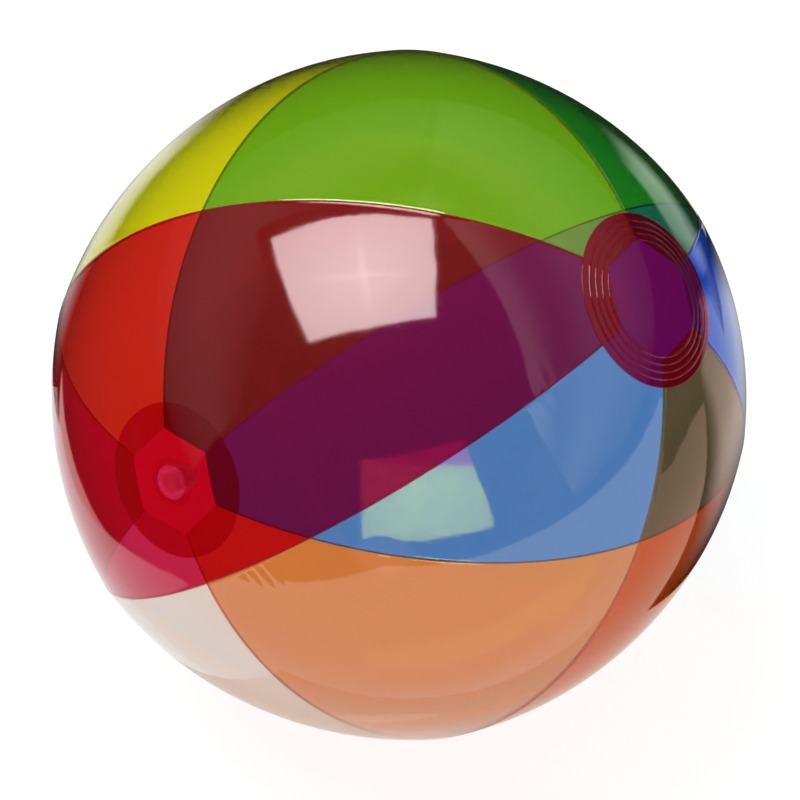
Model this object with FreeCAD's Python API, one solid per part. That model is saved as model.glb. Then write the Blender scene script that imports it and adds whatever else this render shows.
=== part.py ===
"""Inflatable beach ball: six film gores, two end discs and a push-in valve with a tethered plug.

Everything is built in a polar frame, with +Z through the valve, and then turned once into the
attitude in which the ball lies on the ground. The origin is the centre of the ball.
"""

import FreeCAD, Part
import math
import os

# Ball, millimetres
EQUATOR_RADIUS = 160.0
POLE_STRETCH_WIDE = 0.021       # share added towards the poles, with the square of the cosine
POLE_STRETCH_NEAR = 0.029       # the same, with its fourth power
SEAM_RISE = 0.0121              # share by which the creased seams stand out
GORE_SAG = 0.0194               # share by which each gore's middle lies below its seams
CREASE_START_DEG = 16.0         # polar angle where the creases begin, just outside the end discs
FILM = 0.3
GORE_COLOURS = ("red", "clear", "orange", "blue", "green", "yellow")
GORE_STEP_DEG = 360.0 / len(GORE_COLOURS)
GORE_END_FLAT = 24.0            # from the polar axis to each gore's straight end
WELD_LIP = 1.5                  # depth of the lip turned in along each seam
SECTIONS = 17
ARC_POINTS = 9

# End discs
DISC_RADIUS = 40.0
DISC_GAP = 0.02
RIB_RADII = (36.4, 33.2, 30.0, 26.8)
RIB_HALF_WIDTH = 0.5
RIB_HEIGHT = 0.35
DISC_STEP = 1.0
VALVE_HOLE_RADIUS = 9.0

# Valve, heights from the centre of the ball
FLANGE_RADIUS = 12.5
FLANGE_BORE = 8.5
FLANGE_THICKNESS = 0.8
STEM_TOP = 168.0
STEM_LENGTH = 15.0
STEM_RADIUS = 5.2
STEM_FOOT_RADIUS = 5.9
STEM_FOOT_HEIGHT = 0.8
PLUG_SEAT_RADIUS = 3.9
PLUG_SEAT_DEPTH = 4.0
NOZZLE_BORE_RADIUS = 3.4
NOZZLE_BORE_LENGTH = 8.0
AIR_HOLE_RADIUS = 3.0
SKIRT_TOP_RADIUS = 8.3
SKIRT_FOOT_RADIUS = 5.55
SKIRT_WALL = 0.5
SOFT_GAP = 0.3
LUG_REACH = 5.9
LUG_WIDTH = 3.2
LUG_HEIGHT = 2.6
LUG_DROP = 0.35

# Plug and its tether
HINGE_X = -6.2
HINGE_RISE = 0.15               # of the hinge line over the stem's top
HINGE_BARREL_RADIUS = 0.4
PLUG_HEAD_RADIUS = 5.2
PLUG_HEAD_THICKNESS = 1.2
PLUG_TOP_RADIUS = 3.5
PLUG_TIP_RADIUS = 2.8
PLUG_LENGTH = 3.0
TAB_REACH = 6.8
TAB_WIDTH = 4.0
TAB_THICKNESS = 0.8
TETHER_WIDTH = 3.0
TETHER_THICKNESS = 0.8

# Check flap under the stem
FLAP_RADIUS = 4.1
FLAP_THICKNESS = 0.5
FLAP_EAR_REACH = 4.9
FLAP_EAR_WIDTH = 2.4

# Attitude of the lying ball: the valve's axis points to the left and down
VALVE_AZIMUTH_DEG = 169.7
VALVE_LEAN_DEG = 136.8
TURN_ABOUT_AXIS_DEG = 180.0

VECTOR = FreeCAD.Vector
Y_AXIS = VECTOR(0, 1, 0)
Z_AXIS = VECTOR(0, 0, 1)
ORIGIN = VECTOR(0, 0, 0)


def ball_radius(polar, across=0.0):
    """Outer radius of the film at a polar angle and an angle from its gore's middle, in radians."""
    cosine = math.cos(polar)
    start = math.sin(math.radians(CREASE_START_DEG)) ** 2
    fade = max(0.0, math.sin(polar) ** 2 - start)
    edge = math.cos(math.radians(GORE_STEP_DEG / 2))
    bulge = (math.cos(across) - edge) / (1 - edge)
    stretch = POLE_STRETCH_WIDE * cosine**2 + POLE_STRETCH_NEAR * cosine**4
    return EQUATOR_RADIUS * (1 + stretch + fade * (SEAM_RISE - GORE_SAG * bulge))


def angle_where(distance, across=0.0):
    """Polar angle where the film crosses a plane parallel to the axis, across a gore's middle."""
    low, high = 0.0, math.pi / 2
    for _ in range(60):
        middle = (low + high) / 2
        if ball_radius(middle, across) * math.sin(middle) * math.cos(across) < distance:
            low = middle
        else:
            high = middle
    return low


def gore_point(share, across, inset):
    """Point of a gore whose middle lies along +X: share runs from end to end, inset is depth."""
    start = angle_where(GORE_END_FLAT, across)
    polar = start + share * (math.pi - 2 * start)
    radius = ball_radius(polar, across) - inset
    point = VECTOR(
        radius * math.sin(polar) * math.cos(across),
        radius * math.sin(polar) * math.sin(across),
        radius * math.cos(polar),
    )
    if share in (0.0, 1.0):
        point.x = GORE_END_FLAT
    return point


def smooth_edge(points):
    curve = Part.BSplineCurve()
    curve.interpolate(points)
    return curve.toShape()


def gore_section(share):
    """Closed outline across one gore: film between two lips that turn in along the seams."""
    half = math.radians(GORE_STEP_DEG / 2)
    spread = [2 * i / (ARC_POINTS - 1) - 1 for i in range(ARC_POINTS)]
    outer = [gore_point(share, half * s, 0.0) for s in spread]
    distance = math.hypot(outer[0].x, outer[0].y)
    inner_half = half - FILM / distance
    inner = [gore_point(share, inner_half * s, FILM) for s in spread]
    foot = [gore_point(share, side * half, WELD_LIP) for side in (-1, 1)]
    across_lip = [VECTOR(math.sin(half), side * math.cos(half), 0) * FILM for side in (1, -1)]
    foot_inner = [foot[0] + across_lip[0], foot[1] + across_lip[1]]
    if share in (0.0, 1.0):
        for point in foot_inner:
            point.x = GORE_END_FLAT
    edges = [
        smooth_edge(outer),
        Part.makeLine(outer[-1], foot[1]),
        Part.makeLine(foot[1], foot_inner[1]),
        Part.makeLine(foot_inner[1], inner[-1]),
        smooth_edge(inner[::-1]),
        Part.makeLine(inner[0], foot_inner[0]),
        Part.makeLine(foot_inner[0], foot[0]),
        Part.makeLine(foot[0], outer[0]),
    ]
    return Part.Wire(edges)


def make_gore():
    sections = [gore_section(i / (SECTIONS - 1)) for i in range(SECTIONS)]
    return Part.makeLoft(sections, True, False)


def revolved(outline):
    """Solid of revolution about Z from (distance, height) corners."""
    corners = [VECTOR(x, 0, z) for x, z in outline]
    face = Part.Face(Part.makePolygon(corners + corners[:1]))
    return face.revolve(ORIGIN, Z_AXIS, 360)


def film_height(distance):
    """Height of the gores' outer face at a distance from the polar axis, near the pole."""
    polar = angle_where(distance)
    return ball_radius(polar) * math.cos(polar)


def rib_height(distance):
    """Height of the weld ribs over the disc's plain face."""
    for middle in RIB_RADII:
        offset = abs(distance - middle) / RIB_HALF_WIDTH
        if offset < 1:
            return RIB_HEIGHT * (1 - offset**2) ** 0.5
    return 0.0


def disc_distances(start):
    """Radii at which the disc's outline gets a corner: plain steps and five on every rib."""
    plain = [start + i * DISC_STEP for i in range(int((DISC_RADIUS - start) / DISC_STEP) + 1)]
    ribs = [r + s * RIB_HALF_WIDTH for r in RIB_RADII for s in (-1, -0.6, 0, 0.6, 1)]
    clear = [d for d in plain if all(abs(d - r) > RIB_HALF_WIDTH + 0.15 for r in RIB_RADII)]
    return sorted(set(clear + ribs + [DISC_RADIUS]))


def make_disc(hole_radius):
    distances = disc_distances(hole_radius)
    under = [(d, film_height(d) + DISC_GAP) for d in distances]
    over = [(d, film_height(d) + DISC_GAP + FILM + rib_height(d)) for d in distances]
    return revolved(under + over[::-1])


def make_flange():
    middle = (FLANGE_BORE + FLANGE_RADIUS) / 2
    top = [(d, film_height(d)) for d in (FLANGE_BORE, middle, FLANGE_RADIUS)]
    bottom = [(d, z - FLANGE_THICKNESS) for d, z in top[::-1]]
    return revolved(top + bottom)


def make_skirt():
    """Thin cone from the flange down to the foot of the stem."""
    top = film_height(FLANGE_BORE) - FLANGE_THICKNESS - DISC_GAP
    foot = STEM_TOP - STEM_LENGTH + STEM_FOOT_HEIGHT + SOFT_GAP
    outline = [
        (SKIRT_TOP_RADIUS, top),
        (SKIRT_TOP_RADIUS + SKIRT_WALL, top),
        (SKIRT_FOOT_RADIUS + SKIRT_WALL, foot),
        (SKIRT_FOOT_RADIUS, foot),
    ]
    return revolved(outline)


def make_stem():
    bottom = STEM_TOP - STEM_LENGTH
    seat = STEM_TOP - PLUG_SEAT_DEPTH
    floor = seat - NOZZLE_BORE_LENGTH
    outline = [
        (AIR_HOLE_RADIUS, bottom),
        (STEM_FOOT_RADIUS, bottom),
        (STEM_FOOT_RADIUS, bottom + STEM_FOOT_HEIGHT),
        (STEM_RADIUS, bottom + STEM_FOOT_HEIGHT),
        (STEM_RADIUS, STEM_TOP),
        (PLUG_SEAT_RADIUS, STEM_TOP),
        (PLUG_SEAT_RADIUS, seat),
        (NOZZLE_BORE_RADIUS, seat),
        (NOZZLE_BORE_RADIUS, floor),
        (AIR_HOLE_RADIUS, floor),
    ]
    tube = revolved(outline)
    depth = LUG_REACH - (PLUG_SEAT_RADIUS + STEM_RADIUS) / 2
    corner = VECTOR(-LUG_REACH, -LUG_WIDTH / 2, STEM_TOP - LUG_DROP - LUG_HEIGHT)
    lug = Part.makeBox(depth, LUG_WIDTH, LUG_HEIGHT, corner)
    return tube.fuse(lug).removeSplitter()


def make_plug():
    under = STEM_TOP + SOFT_GAP
    head = Part.makeCylinder(PLUG_HEAD_RADIUS, PLUG_HEAD_THICKNESS, VECTOR(0, 0, under), Z_AXIS)
    tab_corner = VECTOR(PLUG_HEAD_RADIUS - 1.5, -TAB_WIDTH / 2, under)
    tab = Part.makeBox(TAB_REACH - tab_corner.x, TAB_WIDTH, TAB_THICKNESS, tab_corner)
    stub = Part.makeCone(
        PLUG_TIP_RADIUS,
        PLUG_TOP_RADIUS,
        PLUG_LENGTH + SOFT_GAP,
        VECTOR(0, 0, under - PLUG_LENGTH - SOFT_GAP),
        Z_AXIS,
    )
    return head.fuse([tab, stub]).removeSplitter()


def make_tether():
    """Strap between the plug's head and the hinge line beside the stem's top."""
    under = STEM_TOP + SOFT_GAP
    length = -HINGE_X - PLUG_HEAD_RADIUS + 0.6
    corner = VECTOR(HINGE_X, -TETHER_WIDTH / 2, under)
    strap = Part.makeBox(length, TETHER_WIDTH, TETHER_THICKNESS, corner)
    barrel_start = VECTOR(HINGE_X, -TETHER_WIDTH / 2, STEM_TOP + HINGE_RISE)
    barrel = Part.makeCylinder(HINGE_BARREL_RADIUS, TETHER_WIDTH, barrel_start, Y_AXIS)
    head = Part.makeCylinder(PLUG_HEAD_RADIUS, PLUG_HEAD_THICKNESS, VECTOR(0, 0, under), Z_AXIS)
    return strap.fuse(barrel).cut(head).removeSplitter()


def make_flap():
    top = STEM_TOP - STEM_LENGTH - SOFT_GAP
    disc = Part.makeCylinder(FLAP_RADIUS, FLAP_THICKNESS, VECTOR(0, 0, top - FLAP_THICKNESS), Z_AXIS)
    corner = VECTOR(FLAP_RADIUS - 1.5, -FLAP_EAR_WIDTH / 2, top - FLAP_THICKNESS)
    ear = Part.makeBox(FLAP_EAR_REACH - corner.x, FLAP_EAR_WIDTH, FLAP_THICKNESS, corner)
    barrel_start = VECTOR(FLAP_EAR_REACH, -FLAP_EAR_WIDTH / 2, top - FLAP_THICKNESS / 2)
    barrel = Part.makeCylinder(FLAP_THICKNESS / 2, FLAP_EAR_WIDTH, barrel_start, Y_AXIS)
    return disc.fuse([ear, barrel]).removeSplitter()


def attitude():
    """Rotation from the polar frame to the frame of the lying ball."""
    turn = FreeCAD.Rotation(Z_AXIS, TURN_ABOUT_AXIS_DEG)
    lean = FreeCAD.Rotation(Y_AXIS, VALVE_LEAN_DEG)
    swing = FreeCAD.Rotation(Z_AXIS, VALVE_AZIMUTH_DEG)
    return FreeCAD.Placement(ORIGIN, swing.multiply(lean).multiply(turn))


def make_parts():
    parts = {}
    for index, colour in enumerate(GORE_COLOURS):
        gore = make_gore()
        gore.rotate(ORIGIN, Z_AXIS, -(index + 0.5) * GORE_STEP_DEG)
        parts[f"gore_{colour}"] = gore
    plain_disc = make_disc(0.0)
    plain_disc.rotate(ORIGIN, VECTOR(1, 0, 0), 180)
    parts["end_disc_plain"] = plain_disc
    parts["end_disc_valve"] = make_disc(VALVE_HOLE_RADIUS)
    parts["valve_flange"] = make_flange()
    parts["valve_skirt"] = make_skirt()
    parts["valve_stem"] = make_stem()
    parts["valve_plug"] = make_plug()
    parts["plug_tether"] = make_tether()
    parts["check_flap"] = make_flap()
    return parts


os.makedirs("parts", exist_ok=True)
placement = attitude()
for name, shape in make_parts().items():
    shape.Placement = placement.multiply(shape.Placement)
    print(name, shape.ShapeType, shape.isValid(), round(shape.Volume, 2))
    shape.exportStep(f"parts/{name}.step")
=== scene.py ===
import math

import bmesh
import bpy
import numpy as np
from mathutils import Matrix, Vector


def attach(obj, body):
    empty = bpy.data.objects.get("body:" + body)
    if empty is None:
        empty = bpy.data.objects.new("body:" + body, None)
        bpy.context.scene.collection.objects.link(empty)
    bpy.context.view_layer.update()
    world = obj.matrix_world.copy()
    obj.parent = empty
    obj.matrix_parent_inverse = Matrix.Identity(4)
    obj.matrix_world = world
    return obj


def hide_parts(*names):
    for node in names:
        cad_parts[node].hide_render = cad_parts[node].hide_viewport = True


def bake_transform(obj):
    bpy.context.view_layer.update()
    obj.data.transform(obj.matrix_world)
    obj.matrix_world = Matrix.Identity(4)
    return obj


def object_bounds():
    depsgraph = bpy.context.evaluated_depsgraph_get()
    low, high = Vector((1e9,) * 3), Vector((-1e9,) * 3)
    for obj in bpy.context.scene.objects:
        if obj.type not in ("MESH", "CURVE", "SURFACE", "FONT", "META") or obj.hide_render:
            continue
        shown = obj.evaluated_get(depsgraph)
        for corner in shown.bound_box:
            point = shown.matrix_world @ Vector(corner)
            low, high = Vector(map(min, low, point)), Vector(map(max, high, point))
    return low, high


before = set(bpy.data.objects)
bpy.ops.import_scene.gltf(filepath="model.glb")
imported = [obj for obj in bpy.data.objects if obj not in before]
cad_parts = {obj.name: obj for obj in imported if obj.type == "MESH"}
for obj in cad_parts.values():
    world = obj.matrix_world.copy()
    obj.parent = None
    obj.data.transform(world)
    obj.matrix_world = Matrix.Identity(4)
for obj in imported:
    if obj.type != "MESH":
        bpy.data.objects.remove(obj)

CAD_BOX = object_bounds()

# Inflatable beach ball in a white studio. Shapes are worked out in millimetres in a polar frame,
# with +Z through the valve, and turned into the row frame by ATTITUDE.
MM = 0.001

# Ball and film, as in the CAD
EQUATOR_RADIUS = 160.0
POLE_STRETCH_WIDE = 0.021
POLE_STRETCH_NEAR = 0.029
SEAM_RISE = 0.0121
GORE_SAG = 0.0194
CREASE_START = math.radians(16.0)
FILM = 0.3
GORE_COLOURS = ("red", "clear", "orange", "blue", "green", "yellow")
GORE_STEP = 2 * math.pi / len(GORE_COLOURS)
HALF_GORE = GORE_STEP / 2
GORE_END_FLAT = 24.0
WELD_LIP = 1.5

# Gore mesh: sections from end to end, and columns by distance from the seam and then evenly
GORE_ROWS = 400
SEAM_COLUMNS = (0.0, 0.3, 0.6, 0.9, 1.3, 1.8, 2.6, 4.0, 6.0, 9.0)
MIDDLE_COLUMNS = 10
END_POLAR = 0.15
ENDS_FADE = 1 / 40

# Seam detail: the weld's bead, the nick between two gores, and the puckers beside the seam
BEAD_HEIGHT = 0.08
BEAD_PLACE = 0.7
BEAD_SPREAD = 0.45
NICK_DEPTH = 0.10
NICK_SPREAD = 0.3
PUCKER_REACH = 3.2
PUCKER_DEPTH = 0.05
PUCKER_SEED = 20
PUCKER_PATCHES = 4

# Creases on one seam: place, width and pitch as shares of its length, and strength
CREASED_SEAM = 1
CREASE_PATCH = (0.566, 0.014, 0.011, 5.0)

# End discs
DISC_RADIUS = 40.0
DISC_GAP = 0.02
RIB_RADII = (36.4, 33.2, 30.0, 26.8)
RIB_HALF_WIDTH = 0.5
RIB_HEIGHT = 0.35
DISC_STEP = 0.16
DISC_EDGE_SWELL = 0.12
DISC_SEGMENTS = 192
VALVE_HOLE_RADIUS = 9.0

# Valve
FLANGE_BORE = 8.5
FLANGE_MIDDLE = 10.5
FLANGE_RADIUS = 12.5
FLANGE_THICKNESS = 0.8
STEM_TOP = 168.0
STEM_LENGTH = 15.0
STEM_RADIUS = 5.2
STEM_FOOT_RADIUS = 5.9
STEM_FOOT_HEIGHT = 0.8
PLUG_SEAT_RADIUS = 3.9
PLUG_SEAT_DEPTH = 4.0
NOZZLE_BORE_RADIUS = 3.4
NOZZLE_BORE_LENGTH = 8.0
AIR_HOLE_RADIUS = 3.0
SKIRT_WALL = 0.5
SKIRT_STEPS = 16
SKIRT_SWELL = 0.5
SOFT_GAP = 0.3
LUG_REACH = 5.9
LUG_WIDTH = 3.2
LUG_HEIGHT = 2.6
LUG_DROP = 0.35
HINGE_X = -6.2
HINGE_RISE = 0.15
HINGE_BARREL_RADIUS = 0.4
PLUG_HEAD_RADIUS = 5.2
PLUG_HEAD_THICKNESS = 1.2
PLUG_TOP_RADIUS = 3.5
PLUG_TIP_RADIUS = 2.8
PLUG_LENGTH = 3.0
TAB_REACH = 6.8
TAB_WIDTH = 4.0
TAB_THICKNESS = 0.8
TETHER_WIDTH = 3.0
TETHER_THICKNESS = 0.8
FLAP_RADIUS = 4.1
FLAP_THICKNESS = 0.5
FLAP_EAR_REACH = 4.9
FLAP_EAR_WIDTH = 2.4
PART_OVERLAP = 0.5

# Attitude of the lying ball
VALVE_AZIMUTH = math.radians(169.7)
VALVE_LEAN = math.radians(136.8)
TURN_ABOUT_AXIS = math.radians(180.0)
ATTITUDE = (
    Matrix.Rotation(VALVE_AZIMUTH, 3, "Z")
    @ Matrix.Rotation(VALVE_LEAN, 3, "Y")
    @ Matrix.Rotation(TURN_ABOUT_AXIS, 3, "Z")
)
TURN = np.array(ATTITUDE)

# What one sheet of film lets through, as linear colour
FILM_PASSES = {
    "red": (0.64, 0.024, 0.10),
    "clear": (0.88, 0.81, 0.75),
    "orange": (0.79, 0.265, 0.05),
    "blue": (0.085, 0.27, 0.74),
    "green": (0.10, 0.42, 0.09),
    "yellow": (0.80, 0.76, 0.06),
    "disc": (0.80, 0.008, 0.12),
    "valve": (0.92, 0.80, 0.80),
}

# What the pigment in the film scatters back, and its share of each face
FILM_GLOWS = {
    "red": (0.90, 0.010, 0.015),
    "clear": (0.80, 0.78, 0.76),
    "orange": (0.90, 0.28, 0.04),
    "blue": (0.02, 0.14, 0.60),
    "green": (0.02, 0.35, 0.02),
    "yellow": (0.80, 0.70, 0.01),
    "disc": (0.90, 0.005, 0.03),
    "valve": (0.80, 0.60, 0.58),
}
PIGMENT_SHARES = {
    "red": 0.050,
    "clear": 0.010,
    "orange": 0.030,
    "blue": 0.030,
    "green": 0.012,
    "yellow": 0.030,
    "disc": 0.040,
    "valve": 0.006,
}

# Film surface: mirror share face on, and how far the thickness noise moves the colour
FACE_ON_MIRROR = 0.04
COLOUR_SPREAD = 0.015

# Camera: elevation over the floor, distance in ball radii, field set by the ball's size in frame
CAMERA_LIFT = math.radians(60.0)
CAMERA_DISTANCE = 10.84
FOCAL_LENGTH = 166.1
SENSOR_WIDTH = 36.0
FRAME_SHIFT = (0.0037, -0.0054)

# Softbox, in metres from the ball's centre, by its first corner and its two edges. Its cloth and
# the cross on it dim from the middle outwards, in shares of its size and light. Its black frame
# stands out past the edges by a share of each, and lies a little farther off.
SOFTBOX = ((-0.593, 0.315, 0.725), (0.691, 0.065, 0.256), (0.016, -0.551, 0.239))
SOFTBOX_LIGHT = 12.0
SOFTBOX_TINT = (0.84, 1.04, 0.97)
CLOTH_REACH = 0.75
CLOTH_LIGHT = (1.05, 0.8)
CROSS_HALF_WIDTH = 0.035
CROSS_REACH = 0.4
CROSS_LIGHT = (0.22, 0.03)
FRAME_MARGINS = (0.09, 0.12)
FRAME_SETBACK = 1.01

# Upright walls, in metres, by azimuth, distance, far end, near end, top and light. Their light
# rises from the foot, and dips in a band about WALL_DIM_HEIGHT.
WALLS = {
    "left_wall": (math.radians(135.0), 0.9, -1.07, 2.25, 1.3, 0.52),
    "right_wall": (math.radians(35.0), 0.9, -1.07, 3.8, 2.35, 0.78),
}
WALL_FOOT = (0.20, 0.24)
WALL_CORNER_TOP = 2.35
WALL_BEND = 0.5
WALL_FOOT_SHARE = 0.1
WALL_FULL_HEIGHT = 1.0
WALL_DIM_HEIGHT = 1.25
WALL_DIM_REACH = 0.9
WALL_DIM_SHARE = 0.22

# Floor, and the sky as it lights, as the camera sees it, and its share in reflections
FLOOR_GLOW = 0.89
FLOOR_ALBEDO = 0.20
FLOOR_REACH = 30.0
SKY_LIGHT = 0.45
SKY_SEEN = 1.05
SKY_MIRRORED = 0.04

# Floor as the gloss shows it, by outline: lit in front and beside the ball, dim in its shade
LIT_FLOORS = {
    "floor_front": ((-0.42, -0.25), (-0.42, -8.0), (8.0, -8.0), (8.0, -0.25)),
    "floor_left": ((-0.12, 0.1), (-0.27, 0.1), (-0.27, 0.0), (-0.42, -0.25), (-0.12, -0.25)),
}
FLOOR_SHADE = ((-0.31, 0.24), (-0.31, -0.25), (0.75, -0.25), (0.75, -0.02), (0.40, 0.24))
LIT_LIGHT = 1.0
SHADE_LIGHT = (0.82, 0.70, 0.62)
SHADE_LIFT = 0.001
LIT_LIFT = 0.002

# Soft-edged strips of lit floor, by azimuth, near end, far end, half width and share that fades
SOFT_FLOORS = {
    "floor_right": (math.radians(18.0), 0.15, 0.9, 0.15, 0.25),
    "floor_back_right": (math.radians(46.0), 0.42, 1.1, 0.18, 0.30),
    "floor_back_left": (math.radians(130.0), 0.22, 0.62, 0.16, 0.35),
}


# ---------------------------------------------------------------- shape of the ball


def film_radius(polar, across=0.0):
    """Outer radius of the film at a polar angle and an angle from its gore's middle."""
    cosine = np.cos(polar)
    fade = np.maximum(0.0, np.sin(polar) ** 2 - math.sin(CREASE_START) ** 2)
    bulge = (np.cos(across) - math.cos(HALF_GORE)) / (1 - math.cos(HALF_GORE))
    stretch = POLE_STRETCH_WIDE * cosine**2 + POLE_STRETCH_NEAR * cosine**4
    return EQUATOR_RADIUS * (1 + stretch + fade * (SEAM_RISE - GORE_SAG * bulge))


def angle_where(distance, across):
    """Polar angles where the film crosses planes parallel to the axis, across a gore's middle."""
    low = np.zeros(np.broadcast(distance, across).shape)
    high = low + math.pi / 2
    for _ in range(50):
        middle = (low + high) / 2
        below = film_radius(middle, across) * np.sin(middle) * np.cos(across) < distance
        low = np.where(below, middle, low)
        high = np.where(below, high, middle)
    return low


def film_height(distance):
    """Height of the film's outer face over the ball's centre, at distances from the polar axis."""
    polar = angle_where(np.asarray(distance, float), np.zeros(1))
    height = film_radius(polar) * np.cos(polar)
    return height if np.ndim(distance) else float(height[0])


# ---------------------------------------------------------------- meshes


def new_piece(name, points, faces, body, material, nodes, sharp=35.0):
    """Mesh piece from points in the polar frame in millimetres, riding on a CAD body."""
    mesh = bpy.data.meshes.new(name)
    placed = (np.asarray(points, float) * MM) @ TURN.T
    mesh.from_pydata(placed.tolist(), [], faces)
    mesh.validate()
    mesh.update()
    mesh.polygons.foreach_set("use_smooth", [True] * len(mesh.polygons))
    mesh.set_sharp_from_angle(angle=math.radians(sharp))
    mesh.materials.append(material)
    piece = bpy.data.objects.new(name, mesh)
    bpy.context.scene.collection.objects.link(piece)
    if body:
        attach(piece, body)
    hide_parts(*nodes)
    return piece


def rounded(outline, radius, steps=4):
    """Closed outline with every corner turned into a small arc."""
    corners = [Vector(p) for p in outline]
    points = []
    for i, corner in enumerate(corners):
        before = corners[i - 1] - corner
        after = corners[(i + 1) % len(corners)] - corner
        reach = min(radius, 0.45 * before.length, 0.45 * after.length)
        start = corner + before.normalized() * reach
        end = corner + after.normalized() * reach
        for k in range(steps + 1):
            t = k / steps
            points.append(tuple((1 - t) ** 2 * start + 2 * t * (1 - t) * corner + t**2 * end))
    return points


def lathe(outline, segments=96):
    """Points and faces of a closed outline of (distance, height) turned about Z."""
    turns = np.arange(segments) * 2 * math.pi / segments
    count = len(outline)
    points = [(r * math.cos(a), r * math.sin(a), z) for a in turns for r, z in outline]
    faces = []
    for i in range(segments):
        for j in range(count):
            k = (j + 1) % count
            n = (i + 1) % segments
            faces.append((i * count + j, n * count + j, n * count + k, i * count + k))
    return points, faces


def merged(points, faces, gap=1e-5):
    """Joins points that coincide, such as those on the axis, and drops what collapses."""
    keys = {}
    index = []
    kept = []
    for p in points:
        key = tuple(round(c / gap) for c in p)
        if key not in keys:
            keys[key] = len(kept)
            kept.append(p)
        index.append(keys[key])
    clean = []
    for face in faces:
        loop = [index[v] for v in face]
        loop = [v for i, v in enumerate(loop) if v != loop[i - 1]]
        if len(loop) > 2:
            clean.append(loop)
    return kept, clean


# ---------------------------------------------------------------- gores


def seam_profile(distance):
    """Height of the welded edge over the film, at distances from the seam."""
    bead = np.exp(-(((distance - BEAD_PLACE) / BEAD_SPREAD) ** 2))
    nick = np.exp(-((distance / NICK_SPREAD) ** 2))
    return BEAD_HEIGHT * bead - NICK_DEPTH * nick


def wave_patch(along, middle, width, pitch, strength, phase=0.0):
    """Short run of waves about one place on a seam."""
    patch = np.exp(-(((along - middle) / width) ** 2))
    return strength * patch * np.sin(2 * math.pi * along / pitch + phase)


def pucker_waves(seam, rows):
    """Waves along a seam, in shares of PUCKER_DEPTH, the same on both sides of the seam."""
    random = np.random.default_rng(PUCKER_SEED + seam)
    along = np.linspace(0, 1, rows)
    wave = np.zeros(rows)
    for _ in range(PUCKER_PATCHES):
        middle = random.uniform(0.08, 0.92)
        width = random.uniform(0.02, 0.07)
        pitch = random.uniform(0.013, 0.024)
        phase = random.uniform(0, 2 * math.pi)
        strength = random.uniform(0.4, 1.0)
        wave += wave_patch(along, middle, width, pitch, strength, phase)
    if seam == CREASED_SEAM:
        wave += wave_patch(along, *CREASE_PATCH)
    return wave


def gore_columns(distance_to_axis):
    """Angles across the gore from its middle, one row per section."""
    rows = len(distance_to_axis)
    seam = np.array(SEAM_COLUMNS)
    near = np.repeat(seam[None, :], rows, 0)
    near_angle = HALF_GORE - near / distance_to_axis[:, None]
    shares = np.arange(1, MIDDLE_COLUMNS + 1) / MIDDLE_COLUMNS
    inner_angle = near_angle[:, -1:] * (1 - shares[None, :])
    left = -np.concatenate([near_angle, inner_angle], 1)
    return np.concatenate([left, -left[:, -2::-1]], 1)


def placed(radius, polar, angle):
    """Points at a radius, a polar angle and an angle about the axis."""
    flat = radius * np.sin(polar)
    return np.stack([flat * np.cos(angle), flat * np.sin(angle), radius * np.cos(polar)], -1)


def gore_ring(index):
    """Closed section rings of one gore: outer face, weld lip, inner face and the other lip."""
    shares = np.linspace(0, 1, GORE_ROWS + 1)
    rough_polar = END_POLAR + shares * (math.pi - 2 * END_POLAR)
    distance_to_axis = film_radius(rough_polar, HALF_GORE) * np.sin(rough_polar)
    distance_to_axis = np.maximum(distance_to_axis, GORE_END_FLAT / math.cos(HALF_GORE))
    across = gore_columns(distance_to_axis)
    start = angle_where(GORE_END_FLAT, across)
    polar = start + shares[:, None] * (math.pi - 2 * start)
    plain = film_radius(polar, across)
    from_seam = (HALF_GORE - np.abs(across)) * distance_to_axis[:, None]
    reach = from_seam / PUCKER_REACH
    envelope = reach * np.exp(1 - reach)
    left_waves = pucker_waves(index, GORE_ROWS + 1)
    right_waves = pucker_waves((index + 1) % len(GORE_COLOURS), GORE_ROWS + 1)
    waves = np.where(across < 0, right_waves[:, None], left_waves[:, None])
    ends = np.clip(np.minimum(shares, 1 - shares) / ENDS_FADE, 0, 1)[:, None]
    outer = plain + ends * (seam_profile(from_seam) + PUCKER_DEPTH * envelope * waves)
    shift = np.maximum(0.0, 1 - from_seam / SEAM_COLUMNS[-1]) * FILM / distance_to_axis[:, None]
    inner_across = across - np.sign(across) * shift

    outer_points = placed(outer, polar, across)
    inner_points = placed(outer - FILM, polar, inner_across)
    edges = [0, -1]
    feet = placed(plain[:, edges] - WELD_LIP, polar[:, edges], across[:, edges])
    side = np.array([1.0, -1.0])
    inward = [np.full(2, math.sin(HALF_GORE)), side * math.cos(HALF_GORE), np.zeros(2)]
    inner_feet = feet + np.stack(inward, -1)[None] * FILM
    lip = [feet[:, 1:2], inner_feet[:, 1:2]]
    other_lip = [inner_feet[:, 0:1], feet[:, 0:1]]
    return np.concatenate([outer_points, *lip, inner_points[:, ::-1], *other_lip], 1)


def gore_faces(count):
    """Faces round the rings of a gore, with its two ends closed."""
    columns = (count - 4) // 2
    faces = []
    for i in range(GORE_ROWS):
        for j in range(count):
            k = (j + 1) % count
            faces.append((i * count + j, i * count + k, (i + 1) * count + k, (i + 1) * count + j))
    for row, flip in ((0, True), (GORE_ROWS, False)):
        base = row * count
        mirror = base + 2 * columns + 1
        end = [(base + j, base + j + 1, mirror - j - 1, mirror - j) for j in range(columns - 1)]
        end.append(tuple(base + columns + k for k in (-1, 0, 1, 2)))
        end.append((base + count - 1, base, base + count - 3, base + count - 2))
        faces += [face if flip else face[::-1] for face in end]
    return faces


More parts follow.
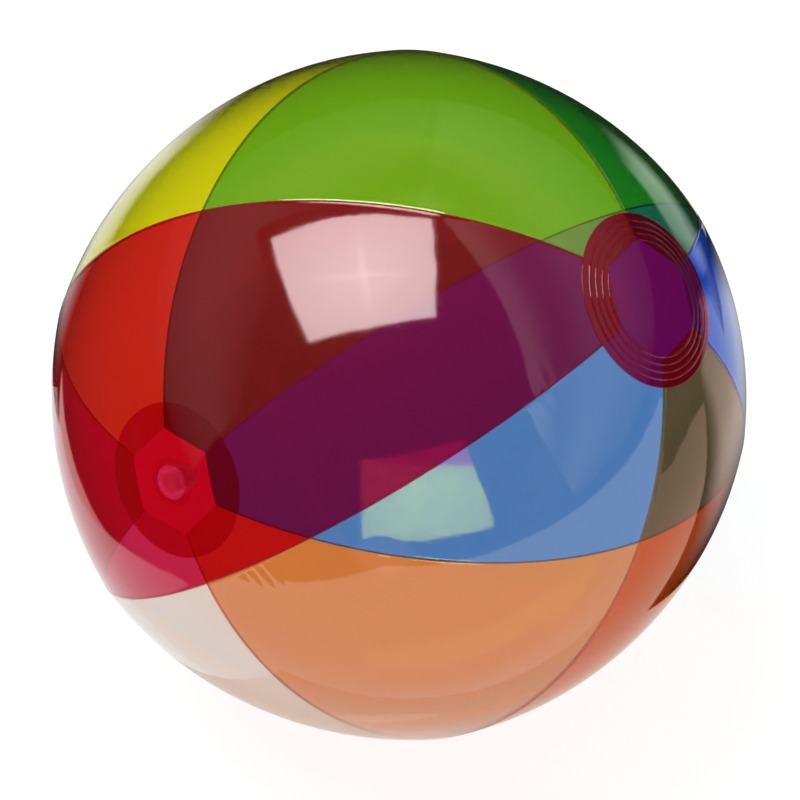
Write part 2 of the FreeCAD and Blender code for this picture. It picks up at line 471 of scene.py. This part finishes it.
def make_gore(index, colour, material):
    ring = gore_ring(index)
    spin = np.array(Matrix.Rotation(-(index + 0.5) * GORE_STEP, 3, "Z"))
    points = ring.reshape(-1, 3) @ spin.T
    faces = gore_faces(ring.shape[1])
    return new_piece(f"panel_{colour}", points, faces, "shell", material, [f"gore_{colour}"])


# ---------------------------------------------------------------- end discs


def rib_height(distance):
    """Height of the weld ribs, half round, at distances from the polar axis."""
    height = np.zeros(len(distance))
    for middle in RIB_RADII:
        offset = np.abs(distance - middle) / RIB_HALF_WIDTH
        height += np.where(offset < 1, RIB_HEIGHT * np.sqrt(np.maximum(0, 1 - offset**2)), 0)
    return height


def disc_outline(hole):
    """Half section of an end disc, lying on the film."""
    distances = np.arange(hole, DISC_RADIUS + 0.01, DISC_STEP)
    distances[-1] = DISC_RADIUS
    under = film_height(distances) + DISC_GAP
    ribs = rib_height(distances)
    over = under + FILM + ribs
    edge = under[-1] + FILM / 2
    outline = list(zip(distances, over)) + [(DISC_RADIUS + DISC_EDGE_SWELL, edge)]
    return outline + list(zip(distances, under))[::-1]


def make_disc(name, hole, node, material, under_side):
    """End disc, turned over to the plain pole where it lies on the under side."""
    points, faces = lathe(disc_outline(hole), DISC_SEGMENTS)
    points = np.array(points)
    if under_side:
        points = points * (1, -1, -1)
    points, faces = merged([tuple(p) for p in points], faces)
    return new_piece(name, points, faces, "shell", material, [node], sharp=60.0)


# ---------------------------------------------------------------- materials


def node_tree(name):
    """New material with an empty node tree."""
    material = bpy.data.materials.new(name)
    material.use_nodes = True
    tree = material.node_tree
    tree.nodes.clear()
    return material, tree


def add(tree, kind, **values):
    """Adds a node and sets its inputs by name, or its properties where no input has that name."""
    node = tree.nodes.new(kind)
    for key, value in values.items():
        label = key.replace("_", " ")
        if label in node.inputs:
            node.inputs[label].default_value = value
        else:
            setattr(node, key, value)
    return node


def math_node(tree, operation, first, second=None):
    node = add(tree, "ShaderNodeMath", operation=operation)
    for socket, value in zip(node.inputs, (first, second)):
        if isinstance(value, (int, float)):
            socket.default_value = value
        elif value is not None:
            tree.links.new(value, socket)
    return node.outputs[0]


def map_range(tree, value, high, at_low=0.0, at_high=1.0, smooth=False):
    """Maps a value that runs from 0 to high on to another range."""
    kind = "SMOOTHSTEP" if smooth else "LINEAR"
    node = add(tree, "ShaderNodeMapRange", interpolation_type=kind, From_Min=0.0, From_Max=high)
    node.inputs["To Min"].default_value = at_low
    node.inputs["To Max"].default_value = at_high
    tree.links.new(value, node.inputs["Value"])
    return node.outputs["Result"]


def show(tree, shader, kind="ShaderNodeOutputMaterial"):
    tree.links.new(shader.outputs[0], add(tree, kind).inputs["Surface"])


def film_material(name, passes, glows, share):
    """Glossy see-through film. Each wall has two faces, so each face passes the square root."""
    material, tree = node_tree(name)
    links = tree.links
    place = add(tree, "ShaderNodeTexCoord").outputs["Object"]
    face = [math.sqrt(c) for c in passes]

    thickness = add(tree, "ShaderNodeTexNoise", Scale=14.0, Detail=3.0, Roughness=0.55)
    links.new(place, thickness.inputs["Vector"])
    tint = add(tree, "ShaderNodeMix", data_type="RGBA")
    tint.inputs["A"].default_value = (*[c * (1 - COLOUR_SPREAD) for c in face], 1)
    tint.inputs["B"].default_value = (*[min(1.0, c * (1 + COLOUR_SPREAD)) for c in face], 1)
    links.new(thickness.outputs["Fac"], tint.inputs["Factor"])

    grain = add(tree, "ShaderNodeTexNoise", Scale=420.0, Detail=4.0, Roughness=0.6)
    links.new(place, grain.inputs["Vector"])
    swell = add(tree, "ShaderNodeTexNoise", Scale=22.0, Detail=2.0, Roughness=0.5)
    links.new(place, swell.inputs["Vector"])
    wide = add(tree, "ShaderNodeBump", Strength=0.35, Distance=0.0006)
    links.new(swell.outputs["Fac"], wide.inputs["Height"])
    fine = add(tree, "ShaderNodeBump", Strength=0.05, Distance=0.00005)
    links.new(grain.outputs["Fac"], fine.inputs["Height"])
    links.new(wide.outputs["Normal"], fine.inputs["Normal"])

    roughness = map_range(tree, grain.outputs["Fac"], 1.0, 0.03, 0.09)

    clear = add(tree, "ShaderNodeBsdfTransparent")
    links.new(tint.outputs["Result"], clear.inputs["Color"])
    body = add(tree, "ShaderNodeBsdfDiffuse", Color=(*glows, 1))
    gloss = add(tree, "ShaderNodeBsdfGlossy", Color=(1, 1, 1, 1))
    links.new(roughness, gloss.inputs["Roughness"])
    links.new(fine.outputs["Normal"], gloss.inputs["Normal"])

    facing = add(tree, "ShaderNodeLayerWeight", Blend=0.5).outputs["Facing"]
    rise = math_node(tree, "POWER", facing, 5.0)
    rise = math_node(tree, "MULTIPLY", rise, 1 - FACE_ON_MIRROR)
    mirror = math_node(tree, "ADD", rise, FACE_ON_MIRROR)

    through = add(tree, "ShaderNodeMixShader", Fac=share)
    links.new(clear.outputs[0], through.inputs[1])
    links.new(body.outputs[0], through.inputs[2])
    mix = add(tree, "ShaderNodeMixShader")
    links.new(mirror, mix.inputs["Fac"])
    links.new(through.outputs[0], mix.inputs[1])
    links.new(gloss.outputs[0], mix.inputs[2])
    show(tree, mix)
    return material


def plain_light(name, strength, colour=(1, 1, 1)):
    """Light of one strength. Gives the material, its tree and the strength's socket."""
    material, tree = node_tree(name)
    glow = add(tree, "ShaderNodeEmission", Color=(*colour, 1), Strength=strength)
    show(tree, glow)
    return material, tree, glow.inputs["Strength"]


# ---------------------------------------------------------------- valve


def from_bmesh(shape):
    """Points and faces of a bmesh, which is freed."""
    points = [tuple(v.co) for v in shape.verts]
    faces = [[v.index for v in face.verts] for face in shape.faces]
    shape.free()
    return points, faces


def slab(low, high, bevel=0.15):
    """Box between two corners with bevelled edges."""
    shape = bmesh.new()
    bmesh.ops.create_cube(shape, size=1.0)
    size = Vector(high) - Vector(low)
    middle = (Vector(high) + Vector(low)) / 2
    for vertex in shape.verts:
        vertex.co = Vector([c * s for c, s in zip(vertex.co, size)]) + middle
    edges = list(shape.edges)
    bmesh.ops.bevel(shape, geom=edges, offset=bevel, segments=3, profile=0.5, affect="EDGES")
    shape.verts.index_update()
    return from_bmesh(shape)


def barrel(radius, width, x, z):
    """Short pin across the X axis, along Y."""
    half = width / 2
    outline = rounded([(0.0, -half), (radius, -half), (radius, half), (0.0, half)], 0.1)
    points, faces = merged(*lathe([(max(0.0, r), y) for r, y in outline], 32))
    return [(px + x, h, z - py) for px, py, h in points], faces


def joined(*shapes):
    """Points and faces of several shapes as one."""
    points = []
    faces = []
    for some_points, some_faces in shapes:
        start = len(points)
        points += some_points
        faces += [[v + start for v in face] for face in some_faces]
    return points, faces


def turned_solid(outline, bevel):
    """Solid of revolution with rounded corners, closed on the axis."""
    corners = [(max(0.0, r), z) for r, z in rounded(outline, bevel)]
    return merged(*lathe(corners))


def make_flange(vinyl):
    top = [(r, film_height(r)) for r in (FLANGE_BORE, FLANGE_MIDDLE, FLANGE_RADIUS)]
    bottom = [(r, z - FLANGE_THICKNESS) for r, z in top[::-1]]
    points, faces = lathe(rounded(top + bottom, 0.25))
    return new_piece("valve_flange_ring", points, faces, "shell", vinyl, ["valve_flange"])


def make_stem(vinyl):
    """Tube with the plug's seat, the nozzle's bore and the lug that carries the strap's hinge."""
    bottom = STEM_TOP - STEM_LENGTH
    seat = STEM_TOP - PLUG_SEAT_DEPTH
    floor = seat - NOZZLE_BORE_LENGTH
    outline = [
        (AIR_HOLE_RADIUS, bottom),
        (STEM_FOOT_RADIUS, bottom),
        (STEM_FOOT_RADIUS, bottom + STEM_FOOT_HEIGHT),
        (STEM_RADIUS, bottom + STEM_FOOT_HEIGHT),
        (STEM_RADIUS, STEM_TOP),
        (PLUG_SEAT_RADIUS, STEM_TOP),
        (PLUG_SEAT_RADIUS, seat),
        (NOZZLE_BORE_RADIUS, seat),
        (NOZZLE_BORE_RADIUS, floor),
        (AIR_HOLE_RADIUS, floor),
    ]
    lug_top = STEM_TOP - LUG_DROP
    lug = slab(
        (-LUG_REACH, -LUG_WIDTH / 2, lug_top - LUG_HEIGHT),
        (-STEM_RADIUS + 0.25, LUG_WIDTH / 2, lug_top),
        0.12,
    )
    points, faces = joined(lathe(rounded(outline, 0.3)), lug)
    return new_piece("stem_tube", points, faces, "valve_stem", vinyl, ["valve_stem"])


def make_plug(vinyl):
    """Stopper with its pull tab, and the strap that ties it to the stem."""
    under = STEM_TOP + SOFT_GAP
    stopper = turned_solid(
        [
            (0.0, under - PLUG_LENGTH - SOFT_GAP),
            (PLUG_TIP_RADIUS, under - PLUG_LENGTH - SOFT_GAP),
            (PLUG_TOP_RADIUS, under),
            (PLUG_HEAD_RADIUS, under),
            (PLUG_HEAD_RADIUS, under + PLUG_HEAD_THICKNESS),
            (0.0, under + PLUG_HEAD_THICKNESS),
        ],
        0.3,
    )
    tab = slab(
        (PLUG_HEAD_RADIUS - PART_OVERLAP, -TAB_WIDTH / 2, under),
        (TAB_REACH, TAB_WIDTH / 2, under + TAB_THICKNESS),
        0.2,
    )
    points, faces = joined(stopper, tab)
    plug = new_piece("plug_stopper", points, faces, "plug", vinyl, ["valve_plug"])
    strap = slab(
        (HINGE_X, -TETHER_WIDTH / 2, under),
        (-PLUG_HEAD_RADIUS + PART_OVERLAP, TETHER_WIDTH / 2, under + TETHER_THICKNESS),
        0.15,
    )
    pin = barrel(HINGE_BARREL_RADIUS, TETHER_WIDTH, HINGE_X, STEM_TOP + HINGE_RISE)
    points, faces = joined(strap, pin)
    tether = new_piece("tether_strap", points, faces, "plug", vinyl, ["plug_tether"])
    return [plug, tether]


def make_skirt(vinyl):
    """Thin sleeve between the flange and the stem's foot, in one fixed shape that swells out a
    little.
    """
    top = film_height(FLANGE_BORE) - FLANGE_THICKNESS / 2
    foot = STEM_TOP - STEM_LENGTH + STEM_FOOT_HEIGHT / 2
    wide = FLANGE_BORE + 0.2
    outside = []
    for step in range(SKIRT_STEPS + 1):
        share = step / SKIRT_STEPS
        radius = wide - (wide - STEM_RADIUS - 0.1) * share**0.9
        radius += SKIRT_SWELL * math.sin(math.pi * share)
        outside.append((radius, top + (foot - top) * share))
    inside = [(r - SKIRT_WALL, z) for r, z in outside]
    points, faces = lathe(outside + inside[::-1])
    skirt = new_piece("folding_skirt", points, faces, None, vinyl, ["valve_skirt"])
    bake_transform(skirt)
    return skirt


def make_flap(vinyl):
    """Check flap under the stem, with the ear and pin of its hinge."""
    top = STEM_TOP - STEM_LENGTH - SOFT_GAP
    bottom = top - FLAP_THICKNESS
    disc = turned_solid([(0.0, bottom), (FLAP_RADIUS, bottom), (FLAP_RADIUS, top), (0.0, top)], 0.15)
    ear = slab(
        (FLAP_RADIUS - 0.3, -FLAP_EAR_WIDTH / 2, bottom),
        (FLAP_EAR_REACH, FLAP_EAR_WIDTH / 2, top),
        0.1,
    )
    pin = barrel(FLAP_THICKNESS / 2, FLAP_EAR_WIDTH, FLAP_EAR_REACH, (top + bottom) / 2)
    points, faces = joined(disc, ear, pin)
    return new_piece("one_way_flap", points, faces, "check_flap", vinyl, ["check_flap"])


# ---------------------------------------------------------------- studio


def panel(name, corners, material):
    """Flat stage piece between its corners."""
    mesh = bpy.data.meshes.new(name)
    mesh.from_pydata([tuple(c) for c in corners], [], [tuple(range(len(corners)))])
    mesh.materials.append(material)
    item = bpy.data.objects.new(name, mesh)
    bpy.context.scene.collection.objects.link(item)
    return item


def reflected_only(item, lights=False):
    """Leaves a stage piece to the gloss, and to the light on the floor where it lights."""
    item.visible_camera = False
    item.visible_transmission = False
    item.visible_shadow = False
    item.visible_diffuse = lights


def make_wall(name, azimuth, distance, far_end, near_end, top, strength):
    """Upright white wall facing the ball, dim at its foot and in a band higher up."""
    outward = Vector((math.cos(azimuth), math.sin(azimuth), 0))
    toward_front = Vector((abs(outward.y), -abs(outward.x), 0))
    if outward.x < 0:
        toward_front.x *= -1
    far = outward * distance + toward_front * far_end
    near = outward * distance + toward_front * near_end
    bend = outward * distance + toward_front * WALL_BEND
    corners = [
        (far.x, far.y, WALL_FOOT[0]),
        (near.x, near.y, WALL_FOOT[1]),
        (near.x, near.y, top),
        (bend.x, bend.y, top),
        (far.x, far.y, WALL_CORNER_TOP),
    ]
    material, tree, strength_socket = plain_light(f"{name}_light", strength)
    axes = add(tree, "ShaderNodeSeparateXYZ")
    tree.links.new(add(tree, "ShaderNodeTexCoord").outputs["Object"], axes.inputs["Vector"])
    height = axes.outputs["Z"]
    foot = WALL_FOOT_SHARE * strength
    rise = map_range(tree, height, WALL_FULL_HEIGHT, foot, strength, smooth=True)
    from_band = math_node(tree, "SUBTRACT", height, WALL_DIM_HEIGHT)
    from_band = math_node(tree, "ABSOLUTE", from_band)
    band = map_range(tree, from_band, WALL_DIM_REACH, WALL_DIM_SHARE, smooth=True)
    tree.links.new(math_node(tree, "MULTIPLY", rise, band), strength_socket)
    reflected_only(panel(name, corners, material))


def make_floor(floor_z):
    """White floor, and the parts of it that show in the ball's gloss."""
    material, tree = node_tree("floor_white")
    matte = add(tree, "ShaderNodeBsdfDiffuse", Color=(*[FLOOR_ALBEDO] * 3, 1))
    glow = add(tree, "ShaderNodeEmission", Color=(1, 1, 1, 1), Strength=FLOOR_GLOW)
    both = add(tree, "ShaderNodeAddShader")
    tree.links.new(matte.outputs[0], both.inputs[0])
    tree.links.new(glow.outputs[0], both.inputs[1])
    show(tree, both)
    far = FLOOR_REACH
    corners = [(x, y, floor_z) for x, y in ((-far, -far), (far, -far), (far, far), (-far, far))]
    panel("floor", corners, material).visible_glossy = False
    lit = plain_light("lit_floor_light", LIT_LIGHT)[0]
    shade = plain_light("shaded_floor_light", 1.0, SHADE_LIGHT)[0]
    layers = (
        (SHADE_LIFT, shade, {"floor_shade": FLOOR_SHADE}),
        (LIT_LIFT, lit, LIT_FLOORS),
    )
    for lift, light, outlines in layers:
        for name, outline in outlines.items():
            corners = [(x, y, floor_z + lift) for x, y in outline]
            reflected_only(panel(name, corners, light))
    for name, (azimuth, near, far, half, share) in SOFT_FLOORS.items():
        corners = [(near, -half, 0), (far, -half, 0), (far, half, 0), (near, half, 0)]
        strip = panel(name, corners, soft_light(f"{name}_light", LIT_LIGHT, share))
        strip.rotation_euler.z = azimuth
        strip.location.z = floor_z + LIT_LIFT
        reflected_only(strip)


def soft_light(name, strength, share):
    """Light that fades to nothing towards the edges of its sheet, over a share of its size."""
    material, tree, strength_socket = plain_light(name, strength)
    axes = add(tree, "ShaderNodeSeparateXYZ")
    tree.links.new(add(tree, "ShaderNodeTexCoord").outputs["Generated"], axes.inputs["Vector"])
    fades = []
    for axis in "XY":
        far = math_node(tree, "SUBTRACT", 1.0, axes.outputs[axis])
        nearer = math_node(tree, "MINIMUM", axes.outputs[axis], far)
        fades.append(map_range(tree, nearer, share, smooth=True))
    both = math_node(tree, "MULTIPLY", fades[0], fades[1])
    tree.links.new(math_node(tree, "MULTIPLY", both, strength), strength_socket)
    return material


def cloth_light(name, strength, colour):
    """Light that is weaker away from its middle, with a faint cross where its cloth is joined."""
    material, tree, strength_socket = plain_light(name, strength, colour)
    place = add(tree, "ShaderNodeTexCoord").outputs["Generated"]
    offset = add(tree, "ShaderNodeVectorMath", operation="SUBTRACT")
    tree.links.new(place, offset.inputs[0])
    offset.inputs[1].default_value = (0.5, 0.5, 0.5)
    away = add(tree, "ShaderNodeVectorMath", operation="LENGTH")
    tree.links.new(offset.outputs["Vector"], away.inputs[0])
    axes = add(tree, "ShaderNodeSeparateXYZ")
    tree.links.new(offset.outputs["Vector"], axes.inputs["Vector"])
    across = math_node(tree, "ABSOLUTE", axes.outputs["X"])
    along = math_node(tree, "ABSOLUTE", axes.outputs["Y"])
    nearer = math_node(tree, "MINIMUM", across, along)
    line = map_range(tree, nearer, CROSS_HALF_WIDTH, 1.0, 0.0)
    centre = map_range(tree, away.outputs["Value"], CROSS_REACH, *CROSS_LIGHT)
    cross = math_node(tree, "MULTIPLY", line, centre)
    fall = map_range(tree, away.outputs["Value"], CLOTH_REACH, *CLOTH_LIGHT)
    both = math_node(tree, "ADD", fall, cross)
    tree.links.new(math_node(tree, "MULTIPLY", both, strength), strength_socket)
    return material


def make_softbox():
    """Softbox over the ball to the left, in its black frame."""
    corner, across, along = [Vector(v) for v in SOFTBOX]
    lamp = cloth_light("softbox_light", SOFTBOX_LIGHT, SOFTBOX_TINT)
    black = plain_light("softbox_frame_light", 0.0)[0]
    for name, (u, v), lift, material in (
        ("softbox", (0.0, 0.0), 1.0, lamp),
        ("softbox_frame", FRAME_MARGINS, FRAME_SETBACK, black),
    ):
        shares = ((-u, -v), (1 + u, -v), (1 + u, 1 + v), (-u, 1 + v))
        corners = [(corner + across * a + along * b) * lift for a, b in shares]
        reflected_only(panel(name, corners, material), lights=name == "softbox")


def make_studio():
    scene = bpy.context.scene
    scene.view_settings.view_transform = "Standard"
    scene.cycles.transparent_max_bounces = 64
    make_floor(CAD_BOX[0][2])
    make_softbox()
    for name, wall in WALLS.items():
        make_wall(name, *wall)
    scene.world = make_sky()


def make_sky():
    """White sky, brighter as the camera sees it and nearly dark in reflections."""
    world = bpy.data.worlds.new("studio")
    world.use_nodes = True
    tree = world.node_tree
    tree.nodes.clear()
    path = add(tree, "ShaderNodeLightPath")
    seen = map_range(tree, path.outputs["Is Camera Ray"], 1.0, SKY_LIGHT, SKY_SEEN)
    mirrored = map_range(tree, path.outputs["Is Glossy Ray"], 1.0, 1.0, SKY_MIRRORED)
    sky = add(tree, "ShaderNodeBackground", Color=(1, 1, 1, 1))
    tree.links.new(math_node(tree, "MULTIPLY", seen, mirrored), sky.inputs["Strength"])
    show(tree, sky, "ShaderNodeOutputWorld")
    return world


def make_camera():
    """Camera that looks at the ball's centre from the front and above."""
    toward = Vector((0, -math.cos(CAMERA_LIFT), math.sin(CAMERA_LIFT)))
    data = bpy.data.cameras.new("camera")
    data.lens = FOCAL_LENGTH
    data.sensor_width = SENSOR_WIDTH
    data.shift_x, data.shift_y = FRAME_SHIFT
    data.clip_end = 200
    camera = bpy.data.objects.new("camera", data)
    bpy.context.scene.collection.objects.link(camera)
    camera.location = toward * (CAMERA_DISTANCE * EQUATOR_RADIUS * MM)
    camera.rotation_euler = toward.to_track_quat("Z", "Y").to_euler()
    bpy.context.scene.camera = camera


def main():
    films = {
        name: film_material(f"film_{name}", passes, FILM_GLOWS[name], PIGMENT_SHARES[name])
        for name, passes in FILM_PASSES.items()
    }
    for index, colour in enumerate(GORE_COLOURS):
        make_gore(index, colour, films[colour])
    for name, hole, node, under in (
        ("disc_plain", 0.0, "end_disc_plain", True),
        ("disc_valve", VALVE_HOLE_RADIUS, "end_disc_valve", False),
    ):
        make_disc(name, hole, node, films["disc"], under)
    vinyl = films["valve"]
    valve = [make_flange(vinyl), make_stem(vinyl), make_skirt(vinyl), make_flap(vinyl)]
    for piece in valve + make_plug(vinyl):
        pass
    make_studio()
    make_camera()


main()
